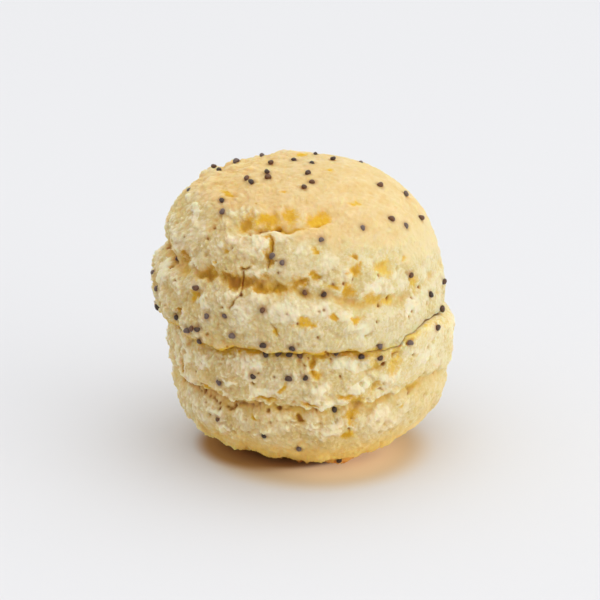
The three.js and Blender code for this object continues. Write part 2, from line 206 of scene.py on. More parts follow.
# Lumps of dough: cell size, lift, roundness, and depth of the creases between them.
LUMPS = ((6.4, 0.34, 0.4, 0.26), (3.3, 0.13, 0.18, 0.14))
# Puffs, the crumbly relief on the lumps: size, height, and the share of it that the smooth crown keeps.
PUFFS = ((4.4, 0.24, 1.0), (2.2, 0.16, 1.2), (1.1, 0.2, 1.0), (0.6, 0.22, 0.9))
CRUMB = (1.5, 0.18, 0.4)  # rounded knobs, with the same three numbers
HOLLOW_SHARE = 0.8  # of the depth given for the hollows
PIT_CELL = 1.7
PIT_RADIUS = 0.36
PIT_DEPTH = 0.6
PIT_SHARE = 0.45  # of the cells have a pit

# The front view: 19 degrees down, with the picture's scale at the middle of the stack.
VIEW_ELEVATION = 19.0
VIEW_CENTRE = (300.0, 307.0)
PIXELS_PER_MM = 5.9
VIEW_AIM = 24.9
VIEW_DISTANCE = 400.0
VIEW_SEARCH = (360.0, 410.0, 0.1)  # nearest and farthest distance from the eye that a dome is looked for at, and step

# ---- The camera's own numbers -----------------------------------------------------------------------------

LENS = 135.0
SENSOR = 36.0
PICTURE_WIDTH = 600.0
CAMERA_DISTANCE = LENS / SENSOR * PICTURE_WIDTH / PIXELS_PER_MM
CAMERA_AIM = 25.55

# ---- Seeds ------------------------------------------------------------------------------------------------

SEED_LENGTH = 1.12
SEED_WIDTH = 0.95
SEED_SINK = 0.1
SEED_SPACING = 2.6
STACK_MIDDLE = 25.0  # a seed past the outline goes to the dough nearest to its line of sight at this height
SEEN_UPPER = (
    (315, 153), (262, 156), (236, 162), (271, 164), (294, 161), (312, 164), (333, 160), (361, 163),
    (214, 168), (219, 171), (267, 173), (268, 178), (308, 174), (247, 179), (251, 183), (312, 183),
    (304, 188), (380, 186), (405, 195), (222, 201), (222, 212), (189, 190), (391, 220), (406, 226),
    (421, 219), (363, 228), (321, 240), (272, 256), (282, 263), (153, 273), (157, 289), (196, 288),
    (158, 307), (177, 318), (207, 317), (225, 316), (232, 336), (263, 310), (305, 292), (324, 294),
    (263, 346), (292, 348), (410, 275), (443, 282), (430, 295), (441, 309),
)
SEEN_LOWER = (
    (187, 331), (192, 329), (197, 330), (200, 341), (266, 354), (278, 353), (290, 355), (300, 355),
    (336, 354), (361, 357), (380, 358), (380, 346), (437, 328), (410, 343), (253, 376), (219, 383), (289, 378),
    (306, 378), (218, 420), (264, 436), (335, 409),
    (299, 449), (339, 460),
)
# Those that the dough covers all but the top of.
BURIED = (
    (361, 163), (189, 190), (406, 226), (363, 228), (321, 240), (153, 273), (157, 289), (219, 383), (262, 156),
    (222, 212), (272, 256), (282, 263), (225, 316), (232, 336), (299, 449), (380, 346),
)
BURIED_SINK = 0.22
BURIED_TONE = 0.04
# Round each seed the dough gets a golden-brown painted contact shade, where the seed sits in it.
SEED_SHADE_REACH = 1.0  # the dough round each seed is golden this far
SCATTERED_UPPER = 62
SCATTERED_LOWER = 34


# ---- Small helpers ----------------------------------------------------------------------------------------


def smooth(x):
    """0 below 0, 1 above 1, and 3t^2 - 2t^3 between."""
    t = np.clip(x, 0.0, 1.0)
    return t * t * (3 - 2 * t)


def speckle(i, j, k, salt):
    """The fraction part of a large sine: a number from 0 to 1 that is always the same for the same cell."""
    x = np.sin(i * 127.1 + j * 311.7 + k * 74.7 + salt * 53.3) * 43758.5453
    return x - np.floor(x)


def around_ring(ring, azimuth):
    """A closed smooth curve (Catmull-Rom) through a ring of values, read at an azimuth in radians."""
    ring = np.asarray(ring, float)
    x = (azimuth / (2 * np.pi)) % 1.0 * len(ring)
    i = np.floor(x).astype(int)
    t = x - i
    a, b, c, d = (ring[(i + step) % len(ring)] for step in (-1, 0, 1, 2))
    return b + 0.5 * t * (c - a + t * (2 * a - 5 * b + 4 * c - d + t * (3 * (b - c) + d - a)))


def sway(p, size, salt):
    """A slow swell from -1 to 1: the mean of three crossed sine waves."""
    x, y, z = p[..., 0], p[..., 1], p[..., 2]
    return (
        np.sin(x / size + 1.7 * salt)
        + np.sin(y / size + 2.9 * salt + 0.6 * z / size)
        + np.sin(z / size + 4.1 * salt + 0.5 * x / size)
    ) / 3


def grain(p, size, salt):
    """Smooth noise from -1 to 1: random values at the corners of cells, blended with 3t^2 - 2t^3 along each axis."""
    q = p / size
    cell = np.floor(q)
    t = q - cell
    t = t * t * (3 - 2 * t)
    total = 0.0
    for dx in (0, 1):
        for dy in (0, 1):
            for dz in (0, 1):
                weight = (
                    (t[..., 0] if dx else 1 - t[..., 0])
                    * (t[..., 1] if dy else 1 - t[..., 1])
                    * (t[..., 2] if dz else 1 - t[..., 2])
                )
                total = total + weight * speckle(cell[..., 0] + dx, cell[..., 1] + dy, cell[..., 2] + dz, salt)
    return total * 2 - 1


def billow(p, size, salt):
    """Puffy noise, 0 in sharp creases and rising to about 1 on rounded tops: the size of a gradient noise, which
    blends, from the corners of cells, a random slope times the way from the corner."""
    q = p / size
    cell = np.floor(q)
    t = q - cell
    blend = t**3 * (t * (t * 6 - 15) + 10)
    total = 0.0
    for dx in (0, 1):
        for dy in (0, 1):
            for dz in (0, 1):
                corner = np.array([dx, dy, dz])
                weight = np.prod(np.where(corner, blend, 1 - blend), axis=-1)
                at = cell + corner
                slope = [speckle(at[..., 0], at[..., 1], at[..., 2], salt + k) * 2 - 1 for k in range(3)]
                total = total + weight * sum(slope[k] * (t[..., k] - corner[k]) for k in range(3))
    return np.minimum(np.sqrt(total**2 + 0.003) * 2.6, 1.3)


def cells(p, size, salt):
    """Distances to the nearest and the second nearest of one random point in each cell of space, in cell sizes,
    and a number from 0 to 1 that belongs to the nearest."""
    q = p / size
    home = np.floor(q)
    first = np.full(q.shape[:-1], np.inf)
    second = first.copy()
    own = np.zeros_like(first)
    for di in (-1, 0, 1):
        for dj in (-1, 0, 1):
            for dk in (-1, 0, 1):
                i, j, k = home[..., 0] + di, home[..., 1] + dj, home[..., 2] + dk
                d = np.sqrt(
                    (i + speckle(i, j, k, salt) - q[..., 0]) ** 2
                    + (j + speckle(i, j, k, salt + 1) - q[..., 1]) ** 2
                    + (k + speckle(i, j, k, salt + 2) - q[..., 2]) ** 2
                )
                nearer = d < first
                second = np.where(nearer, first, np.minimum(second, d))
                own = np.where(nearer, speckle(i, j, k, salt + 3), own)
                first = np.where(nearer, d, first)
    return first, second, own


def crumbs(p, size, salt):
    """Knobs, one in each cell: a round cap as high as its own draw, with a crease where it meets its neighbours."""
    first, second, own = cells(p, size, salt)
    cap = np.sqrt(np.maximum(1.15 - first**2, 0.02))
    return (0.5 + 0.5 * own) * cap * (0.55 + 0.45 * smooth((second - first) / 0.3))


def lumps(p, size, lift, roundness, crease, salt):
    """Relief of lumps: each cell is lifted or sunk by its own amount and falls away round its middle, and a crease
    runs between cells."""
    first, second, own = cells(p, size, salt)
    edge = second - first
    fall = roundness * (0.3 - first**2)
    return lift * (own * 2 - 1) * smooth(edge / 0.7) + fall - crease * np.exp(-((edge / 0.24) ** 2))


def warped(p, size, reach, salt):
    """Points moved by smooth noise, on each axis by its own."""
    return p + reach * np.stack([grain(p, size, salt + 7 * k) for k in range(3)], -1)


def distance_to(route, p):
    """Distance from each point to a route of straight stretches."""
    least = np.full(p.shape[:-1], np.inf)
    for a, b in zip(route[:-1], route[1:]):
        along = np.clip(((p - a) @ (b - a)) / ((b - a) @ (b - a)), 0, 1)
        least = np.minimum(least, np.linalg.norm(p - a - along[..., None] * (b - a), axis=-1))
    return least


# ---- Shape of a shell -------------------------------------------------------------------------------------


def dome(shell, azimuth, polar):
    """Distance from the axis and level of a turned superellipse, (r/R)^n + (h/H)^n = 1, at a polar angle from its
    crown, with its lowest part tucked in along a quarter circle."""
    n = shell["squareness"]
    s = np.maximum(np.sin(polar), 0)
    c = np.maximum(np.cos(polar), 0)
    reach = ((s / shell["radius"]) ** n + (c / shell["height"]) ** n) ** (-1 / n)
    level = reach * c
    lip = around_ring(shell["lip"], azimuth)
    below = np.maximum(lip - level, 0)
    tuck = lip - np.sqrt(np.maximum(lip**2 - below**2, 0))
    return reach * s - tuck, level


def place(shell, azimuth, radius, level):
    """A point from its azimuth, distance from the shell's axis and level; the seam wanders a little."""
    x = shell["axis"][0] + radius * np.sin(azimuth)
    y = shell["axis"][1] - radius * np.cos(azimuth)
    wave = SEAM_WAVE * (np.sin(x / 9 + 0.4) * np.cos(y / 11) + 0.4 * np.sin(y / 6 + x / 8))
    line = np.array(SEAM_LINE)
    wave = wave + np.interp(x, line[:, 0], line[:, 1]) * smooth((6 - y) / 12) * np.exp(-level / 4)
    flat = np.stack(np.broadcast_arrays(x, y, 0.0 * x), axis=-1)
    fray = SEAM_FRAY * (grain(flat, 2.6, 81) + 0.5 * grain(flat, 0.9, 82))
    z = SEAM_HEIGHT + wave + fray * np.exp(-level / 3) + shell["facing"] * (SEAM_GAP / 2 + level)
    return np.stack(np.broadcast_arrays(x, y, z), axis=-1)


def sight(pixel):
    """The camera's place and the line of sight through a pixel, both in millimetres."""
    e = math.radians(VIEW_ELEVATION)
    eye = np.array([0.0, -math.cos(e), math.sin(e)]) * VIEW_DISTANCE
    right = (pixel[0] - VIEW_CENTRE[0]) / PIXELS_PER_MM
    up = (VIEW_CENTRE[1] - pixel[1]) / PIXELS_PER_MM
    line = np.array([right, up * math.sin(e), up * math.cos(e)]) - eye
    return eye + np.array([0.0, 0.0, VIEW_AIM]), line / np.linalg.norm(line)


def in_view(p):
    """How far to the right of the view's centre and above it the front view shows each point, in millimetres."""
    e = math.radians(VIEW_ELEVATION)
    off = p - [0.0, 0.0, VIEW_AIM]
    near = VIEW_DISTANCE / (VIEW_DISTANCE + off @ [0.0, math.cos(e), -math.sin(e)])
    return np.stack([off[..., 0] * near, off @ [0.0, math.sin(e), math.cos(e)] * near], -1)


def seen(shell, pixel):
    """The point of the plain dome that the front view shows at a pixel, or the nearest one to its line of sight."""
    eye, line = sight(pixel)
    p = eye + np.arange(*VIEW_SEARCH)[:, None] * line
    r = np.hypot(p[:, 0] - shell["axis"][0], p[:, 1] - shell["axis"][1]) / shell["radius"]
    h = np.abs(p[:, 2] - SEAM_HEIGHT) / shell["height"]
    value = r ** shell["squareness"] + h ** shell["squareness"]
    inside = value <= 1
    return p[np.argmax(inside)] if inside.any() else p[np.argmin(value)]


def seen_frame(shell, pixel):
    """A seen point, with the directions across the picture and up the dome there."""
    at = seen(shell, pixel)
    out = (at - [shell["axis"][0], shell["axis"][1], SEAM_HEIGHT]) / [1, 1, shell["height"] / shell["radius"]]
    across = np.cross([0.0, 0.0, 1.0], -out)
    across /= np.linalg.norm(across)
    up = np.cross(out, across)
    return at, across, up / np.linalg.norm(up)


def hollow_marks(shell, spots, p):
    """Depth of the named hollows, each a smooth oval dip, and how much golden and how much brown painted shade they put
    on the dough.
    """
    depth, warm_shade, brown = (np.zeros(p.shape[:-1]) for _ in range(3))
    for x, y, half_width, half_height, deep, brownness in spots:
        at, across, up = seen_frame(shell, (x, y))
        off = p - at
        far = ((off @ across) / half_width) ** 2 + ((off @ up) / half_height) ** 2
        near = (off**2).sum(-1) < 64
        dip = np.exp(-(far**1.3)) * near
        depth += deep * dip
        warm_shade = np.maximum(warm_shade, np.exp(-((far / 1.3) ** 1.2)) * near)
        brown = np.maximum(brown, brownness * dip)
    return depth, warm_shade, brown


def block_marks(shell, spots, p):
    """Lift of the named blocks, and a mark for their painted highlight, how pale they are: an oval with a flat top."""
    lift, pale = (np.zeros(p.shape[:-1]) for _ in range(2))
    for x, y, half_width, half_height, rise in spots:
        at, across, up = seen_frame(shell, (x, y))
        off = p - at
        far = ((off @ across) / half_width) ** 2 + ((off @ up) / half_height) ** 2
        form = np.exp(-(far**2)) * ((off**2).sum(-1) < 64)
        lift = np.maximum(lift, rise * form)
        pale = np.maximum(pale, form * min(rise / 0.3, 1))
    return lift, pale


def tear(p):
    """The tear across the crown: the torn dough's edge standing up below its route and a sunken band above it, a thin
    broken crack along it, and how much of the band each point is. All fade towards the two ends."""
    route = np.array([seen(UPPER, pixel) for pixel in TEAR_ROUTE])
    d = distance_to(route, p)
    edge_height = np.interp(p[..., 0], route[:, 0], route[:, 2])
    below = smooth((edge_height - p[..., 2]) / 0.5 + 0.3)
    middle = (route[0, 0] + route[-1, 0]) / 2
    fade = smooth(1.9 - 1.7 * np.abs(p[..., 0] - middle) / (route[-1, 0] - middle)) * (p[..., 1] < 0)
    raised = EDGE_LIFT * below * np.exp(-((d / EDGE_REACH) ** 2))
    sunk = BASIN[0] * (1 - below) * np.exp(-((d / BASIN[1]) ** 4))
    broken = smooth(0.9 + 1.6 * grain(p, 2.2, 91))
    crack = broken * TEAR_DEPTH * np.exp(-((d / TEAR_WIDTH) ** 2))
    return fade * (raised - sunk), fade * crack, fade * sunk / BASIN[0]


def calmness(shell, p):
    """The share of the relief that a point has: less on the right, and more on the left."""
    start, share = shell["calm"]
    left = smooth((LIVELY_START - p[..., 0]) / CALM_REACH)
    return 1 - share * smooth((p[..., 0] - start) / CALM_REACH) + LIVELY_LEFT * left


def broad_relief(shell, azimuth, level, p):
    """How far the dough's broad forms stand out from the plain dome: the rings' bands and lumps, less the waist
    groove. Also gives how much of smooth crust each point is, and the depth of the groove."""
    salt = shell["salt"]
    ragged = 2.6 * grain(p, 5.0, salt + 9) + 1.6 * grain(p, 1.8, salt + 10)
    crust = smooth((level + ragged - around_ring(shell["crust_edge"], azimuth)) / CRUST_BLEND + 0.5)
    out = 0.35 * sway(p, 4.2, salt)
    for ring, (middle, width) in ((shell["rim"], RIM), (shell["skirt"], SKIRT), (shell["shoulder"], SHOULDER)):
        out += around_ring(ring, azimuth) * np.exp(-(((level - middle) / width) ** 2))
    bent = warped(p, 3.0, 0.9, salt + 5)
    for size, lift, roundness, crease in LUMPS:
        out += calmness(shell, p) * (1 - (1 - CROWN_SHARE) * crust) * lumps(bent, size, lift, roundness, crease, salt)
    off_waist = level - around_ring(shell["waist_level"], azimuth)
    off_waist -= 0.8 * grain(p, 5.5, salt + 2) + 0.3 * grain(p, 1.3, salt + 6)
    width = around_ring(shell["waist_width"], azimuth) * (1 + 0.35 * grain(p, 4.0, salt + 3))
    waist = around_ring(shell["waist_depth"], azimuth) / (1 + (off_waist / width) ** 2) ** 1.5
    waist *= 1 + 0.35 * grain(p, 2.4, salt + 4)
    return out - waist, crust, waist


def fine_relief(shell, cracks, hollows, blocks, crust, level, p):
    """How far the crumb stands out from the broad forms: puffs and knobs where it is not smooth crust, less the
    hollows, pits and cracks. Also gives marks for the finish, among them painted golden and brown shade in the hollows,
    in the tear's band and along the seam, and painted highlight on the blocks."""
    salt = shell["salt"]
    calm = calmness(shell, p)
    out = np.zeros(p.shape[:-1])
    for number, (size, height, kept) in enumerate(PUFFS):
        bent = warped(p, 1.2 * size, 0.22 * size, salt + 20 + number)
        out += calm * height * (1 - (1 - kept) * crust) * (billow(bent, size, salt + 30 + 5 * number) - 0.55)
    size, height, kept = CRUMB
    bent = warped(p, 1.5 * size, 0.25 * size, salt + 26)
    out += calm * height * (1 - (1 - kept) * crust) * (crumbs(bent, size, salt + 60) - 0.6)
    first, _, own = cells(bent, PIT_CELL, salt + 70)
    pit = np.exp(-((first * PIT_CELL / PIT_RADIUS) ** 2)) * (own < PIT_SHARE) * (1 - 0.9 * crust)
    wander = warped(warped(p, 0.9, 0.3, salt + 41), 2.4, 0.6, salt + 47)
    ragged = warped(warped(p, 1.8, 0.8, salt + 44), 0.8, 0.4, salt + 45)
    dips, warm_shade, brown = hollow_marks(shell, hollows, ragged)
    lift, pale = block_marks(shell, blocks, warped(warped(p, 1.8, 0.6, salt + 50), 0.8, 0.3, salt + 51))
    out += calm * BLOCK_SHARE * lift
    torn = np.zeros_like(out)
    shown = in_view(wander)
    for width, depth, route in cracks:
        stops = (np.array(route) - VIEW_CENTRE) / [PIXELS_PER_MM, -PIXELS_PER_MM]
        torn += depth / (1 + (distance_to(stops, shown) / width) ** 2) ** 2
    torn *= smooth((3 - p[..., 1]) / 6)
    if shell is UPPER:
        raised, deep, basin = tear(wander)
        out += raised
        torn += deep
        # The tear's sunken band above the crack gets painted golden shade.
        warm_shade = np.maximum(warm_shade, (0.32 + 0.45 * grain(p, 1.8, 92)) * basin)
    # Painted golden and brown shade along the seam, under the upper shell's lip, fading towards the lit right.
    seam = np.exp(-((level / SEAM_SHADE_BAND[shell is LOWER]) ** 2)) * smooth((4 - p[..., 1]) / 8)
    right = smooth((p[..., 0] - SEAM_FADE[0]) / SEAM_FADE[1])
    seam *= 1 - GOLD_FADE * right
    warm_shade = np.maximum(warm_shade, (0.85 + 0.5 * grain(p, 3.0, salt + 48)) * seam)
    brown = np.maximum(brown, 0.18 * seam)
    opening = SEAM_CRACK[0] * (1 - CREASE_FADE * right) * np.exp(-((level / SEAM_CRACK[1]) ** 2))
    torn += opening * (1 + grain(p, 3.0, salt + 49))
    out -= torn + HOLLOW_SHARE * dips + PIT_DEPTH * pit
    return out, dict(torn=torn, pit=pit, warm_shade=warm_shade, brown=brown, pale=pale)


def blurred(field, reach):
    """A field on a square grid, averaged over a window of 2*reach + 1 cells along each side."""
    for axis in (0, 1):
        before = np.repeat(np.take(field, [0], axis), reach + 1, axis)
        after = np.repeat(np.take(field, [-1], axis), reach, axis)
        total = np.cumsum(np.concatenate([before, field, after], axis), axis)
        size = field.shape[axis]
        field = (
            np.take(total, range(2 * reach + 1, 2 * reach + 1 + size), axis) - np.take(total, range(size), axis)
        ) / (2 * reach + 1)
    return field


def square_on_disc(n):
    """A square grid of n by n cells laid on a disc: the larger of |s| and |t| is the ring that a point is on, and the
    other gives its place along that ring. Returns ring, from 0 to 1, and azimuth."""
    s, t = np.meshgrid(np.linspace(-1, 1, n + 1), np.linspace(-1, 1, n + 1), indexing="ij")
    ring = np.maximum(np.abs(s), np.abs(t))
    wide = np.abs(s) >= np.abs(t)
    along = np.where(wide, t, s) / np.where(ring == 0, 1, np.where(wide, s, t))
    azimuth = np.where(wide, np.pi / 4 * along, np.pi / 2 - np.pi / 4 * along)
    return ring, azimuth + np.where(np.where(wide, s, t) < 0, np.pi, 0)


GRID = 300  # cells along a side of the square that a dome is laid from
BASE_RINGS = (0.97, 0.86, 0.7, 0.5, 0.3, 0.12)


def shell_surface(shell, cracks, hollows, blocks):
    """The dough of one shell. The dome is a square grid laid on a disc, whose rings go from the crown to the lip;
    each point is moved out by the broad relief, which sags, and then along that surface's normal by the fine relief.
    Rings of points then close the flat base. Returns points in millimetres, faces, and marks for the finish."""
    ring, azimuth = square_on_disc(GRID)
    radius, level = dome(shell, azimuth, ring**0.94 * np.pi / 2)
    p = place(shell, azimuth, radius, level)
    broad, crust, waist = broad_relief(shell, azimuth, level, p)
    foot = smooth((radius - 4) / 5) if shell is LOWER else 1.0
    broad = broad * foot
    lean = np.arctan2(radius / shell["radius"] ** 1.1, (level * 0.8 + 2) / shell["height"] ** 1.1)
    near_lip = smooth(level / 0.8)
    moved = place(
        shell, azimuth, radius + broad * np.sin(lean), np.maximum(level + broad * np.cos(lean) * near_lip, 0)
    )
    moved[..., 2] += shell["slant"] * moved[..., 0] * (level / shell["height"]) ** 2
    moved[..., 0] += shell["lean"] * (level / shell["height"]) ** 5
    moved[..., 2] -= DROOP * broad * np.sin(lean) * smooth(level / 3)
    fine, marks = fine_relief(shell, cracks, hollows, blocks, crust, level, moved)
    fine = fine * foot * (0.4 + 0.6 * near_lip)
    normal = np.cross(np.gradient(moved, axis=0), np.gradient(moved, axis=1)) * shell["facing"]
    normal = np.stack([blurred(normal[..., k], 2) for k in range(3)], -1)
    normal /= np.linalg.norm(normal, axis=-1, keepdims=True)
    normal[..., 2] *= near_lip
    moved += fine[..., None] * normal
    clear = np.maximum(moved[..., 2] - FOOT_CUT, 0)
    moved[..., 2] = FOOT_CUT + clear * smooth(clear / FOOT_FLAT)
    out = broad + fine
    # The side mark sets painted shade in the dough's colour: warmer and darker on the left, away from the lamp.
    side = smooth((16 - moved[..., 0]) / 36)  # 1 on the left, 0 on the right
    marks.update(crust=crust, waist=waist, side=side)
    # How far the dough lies below its surroundings: the finish paints warm and brown shade by these marks, and
    # highlight on raised points.
    marks["hollow"] = blurred(blurred(out, 9), 9) - out
    marks["crease"] = blurred(blurred(out, 2), 2) - out
    marks["level"] = level

    n = GRID
    index = np.arange((n + 1) ** 2).reshape(n + 1, n + 1)
    faces = [np.stack([index[:-1, :-1], index[1:, :-1], index[1:, 1:], index[:-1, 1:]], -1).reshape(-1, 4)]
    edge = np.concatenate([index[:-1, 0], index[-1, :-1], index[:0:-1, -1], index[0, :0:-1]])
    points = [moved.reshape(-1, 3)]
    count = len(points[0])
    rim = points[0][edge]
    middle = np.array([shell["axis"][0], shell["axis"][1], SEAM_HEIGHT])
    for share in BASE_RINGS:
        points.append(middle + (rim - middle) * [share, share, share**2])
        inner = np.arange(count, count + len(edge))
        faces.append(np.stack([edge, inner, np.roll(inner, -1), np.roll(edge, -1)], -1))
        edge, count = inner, count + len(edge)
    points.append(middle[None])
    hub = np.full(len(edge), count)
    points = np.concatenate(points)
    points[:, 2] -= FOOT_CUT
    if shell["facing"] > 0:
        quads, fans = np.concatenate(faces), np.stack([edge, hub, np.roll(edge, -1)], -1)
    else:
        quads, fans = np.concatenate(faces)[:, ::-1], np.stack([np.roll(edge, -1), hub, edge], -1)
    extra = len(points) - (n + 1) ** 2
    marks = {name: np.concatenate([values.reshape(-1), np.full(extra, values[0, 0])]) for name, values in marks.items()}
    return points, quads, fans, marks


def make_mesh(name, points, faces, marks=None):
    """A smooth-shaded mesh object in metres from points in millimetres, with a float attribute for each mark."""
    mesh = bpy.data.meshes.new(name)
    mesh.from_pydata((points * MM).tolist(), [], [f for group in faces for f in group.tolist()])
    mesh.shade_smooth()
    for mark, values in (marks or {}).items():
        mesh.attributes.new(mark, "FLOAT", "POINT").data.foreach_set("value", values.astype(np.float32))
    mesh.validate()
    piece = bpy.data.objects.new(name, mesh)
    bpy.context.scene.collection.objects.link(piece)
    return piece


# ---- Seeds ------------------------------------------------------------------------------------------------


def bean(rows, columns):
    """A poppy seed of unit length: an ellipsoid bent into a slight kidney, one side hollowed. Returns points and faces
    of a closed grid with its two ends joined to single points."""
    turn = np.arange(columns) / columns * 2 * np.pi
    tilt = (np.arange(1, rows) / rows * np.pi)[:, None]
    x = np.cos(tilt) * np.ones_like(turn)
    y = np.sin(tilt) * np.cos(turn)
    z = np.sin(tilt) * np.sin(turn)
    body = np.stack([x, y, z], -1).reshape(-1, 3)
    points = np.concatenate([[[1.0, 0, 0]], body, [[-1.0, 0, 0]]]) * 0.5
    points[:, 1] *= SEED_WIDTH / SEED_LENGTH
    points[:, 2] *= 0.88 * SEED_WIDTH / SEED_LENGTH
    points[:, 1] += 0.35 * points[:, 0] ** 2 - 0.08 * np.exp(-((points[:, 0] / 0.2) ** 2)) * (points[:, 1] > 0)
    around = np.arange(columns)
    after = np.roll(around, -1)
    starts = 1 + columns * np.arange(rows - 1)[:, None]
    here, there = starts + around, starts + after
    quads = np.stack([here[:-1], here[1:], there[1:], there[:-1]], -1).reshape(-1, 4)
    ends = np.zeros_like(around)
    first_fan = np.stack([ends, here[0], there[0]], -1)
    last_fan = np.stack([ends + len(points) - 1, there[-1], here[-1]], -1)
    return points, quads, np.concatenate([first_fan, last_fan])


def seed_places(shells):
    """Where seeds lie: where the front view shows them, on what its line of sight meets first, and drawn places on
    the sides that it hides. Each has its point, the normal there and whether it is buried."""
    trees = {name: BVHTree.FromPolygons(points.tolist(), quads.tolist()) for name, (points, quads) in shells.items()}
    places = []

    def keep(hit, buried=False):
        if hit[0] is not None:
            places.append((np.array(hit[0]), np.array(hit[1]), buried))

    def shown(hit):
        top = hit[0] + hit[1] * 1.4
        eye = Vector(sight(VIEW_CENTRE)[0])
        return all(tree.ray_cast(top, eye - top)[0] is None for tree in trees.values())

    for pixel in SEEN_UPPER + SEEN_LOWER:
        eye, line = sight(pixel)
        eye = eye - np.array([0, 0, FOOT_CUT])
        hits = [tree.ray_cast(Vector(eye), Vector(line)) for tree in trees.values()]
        hits = [hit for hit in hits if hit[0] is not None]
        if hits:
            keep(min(hits, key=lambda hit: hit[3]), pixel in BURIED)
        else:
            beside = Vector(eye + line * (line @ (np.array([0, 0, STACK_MIDDLE]) - eye)))
            near = [tree.find_nearest(beside) for tree in trees.values()]
            keep(min(near, key=lambda hit: hit[3]), pixel in BURIED)
    for name, shell, extra in (("upper", UPPER, SCATTERED_UPPER), ("lower", LOWER, SCATTERED_LOWER)):
        heart = np.array([shell["axis"][0], shell["axis"][1], SEAM_HEIGHT + shell["facing"] * 8])
        found = 0
        for n in range(4000):
            if found == extra:
                break
            azimuth = (speckle(n, 1, 0, shell["salt"]) * 2 - 1) * np.pi
            polar = math.acos(speckle(n, 2, 0, shell["salt"]) ** 0.8)
            radius, level = dome(shell, azimuth, np.array(polar))
            away = place(shell, azimuth, radius, level) - heart
            away /= np.linalg.norm(away)
            hit = trees[name].ray_cast(Vector(heart + away * 60), Vector(-away))
            if hit[0] is None or level < 1.2 or hit[0].z < 1.3 or shown(hit):
                continue
            if all(np.linalg.norm(q - np.array(hit[0])) > SEED_SPACING for q, _, _ in places):
                keep(hit)
                found += 1
    return places


def seed_shade_marks(points, places):
    """How much painted contact shade each point of the dough gets from the seed nearest to it: 1 at the seed, fading
    round it.
    """
    least = np.full(len(points), np.inf)
    for at, _, _ in places:
        least = np.minimum(least, ((points - at) ** 2).sum(-1))
    return np.exp(-least / SEED_SHADE_REACH**2)


def seeds_surface(places):
    """Every seed as one set of points and faces: at each place the bean lies along the dough, turned by a drawn
    angle. Also gives a tone for each point."""
    form, quads, fans = bean(7, 8)
    points, all_quads, all_fans, tones = [], [], [], []
    for number, (at, normal, buried) in enumerate(places):
        draw = [speckle(number, k, 5, 17) for k in range(6)]
        normal = normal / np.linalg.norm(normal)
        side = np.cross(normal, [0.0, 0.0, 1.0] if abs(normal[2]) < 0.9 else [1.0, 0.0, 0.0])
        side /= np.linalg.norm(side)
        other = np.cross(normal, side)
        turn = draw[0] * 2 * np.pi
        long_way = side * math.cos(turn) + other * math.sin(turn) + normal * (draw[1] - 0.5) * 0.7
        long_way /= np.linalg.norm(long_way)
        flat_way = np.cross(normal, long_way)
        flat_way /= np.linalg.norm(flat_way)
        up_way = np.cross(long_way, flat_way)
        size = SEED_LENGTH * (0.86 + 0.26 * draw[2])
        centre = at + normal * (0.5 * SEED_WIDTH * 0.8 - SEED_SINK - 0.25 * draw[3] ** 2 - BURIED_SINK * buried)
        offset = number * len(form)
        points.append(centre + size * (form[:, :1] * long_way + form[:, 1:2] * flat_way + form[:, 2:] * up_way))
        all_quads.append(quads + offset)
        all_fans.append(fans + offset)
        tones.append(np.full(len(form), BURIED_TONE if buried else draw[4]))
    return np.concatenate(points), [np.concatenate(all_quads), np.concatenate(all_fans)], np.concatenate(tones)


# ---- Finishes ---------------------------------------------------------------------------------------------


def colour(red, green, blue):
    """Linear colour, with alpha 1, from sRGB values of 0 to 255."""
    srgb = np.array([red, green, blue]) / 255
    linear = np.where(srgb <= 0.04045, srgb / 12.92, ((srgb + 0.055) / 1.055) ** 2.4)
    return (*linear.tolist(), 1.0)


class Wire:
    """A value in a node tree. Sums, differences, products, quotients and powers of wires and numbers add Math nodes."""

    def __init__(self, finish, socket):
        self.finish = finish
        self.socket = socket

    def _math(self, operation, a, b=None):
        sockets = {0: a} if b is None else {0: a, 1: b}
        return self.finish.add("ShaderNodeMath", {"operation": operation}, sockets)[0]

    def __add__(self, other):
        return self._math("ADD", self, other)

    def __radd__(self, other):
        return self._math("ADD", other, self)

    def __sub__(self, other):
        return self._math("SUBTRACT", self, other)

    def __rsub__(self, other):
        return self._math("SUBTRACT", other, self)

    def __mul__(self, other):
        return self._math("MULTIPLY", self, other)

    def __rmul__(self, other):
        return self._math("MULTIPLY", other, self)

    def __truediv__(self, other):
        return self._math("DIVIDE", self, other)

    def __pow__(self, other):
        return self._math("POWER", self, other)


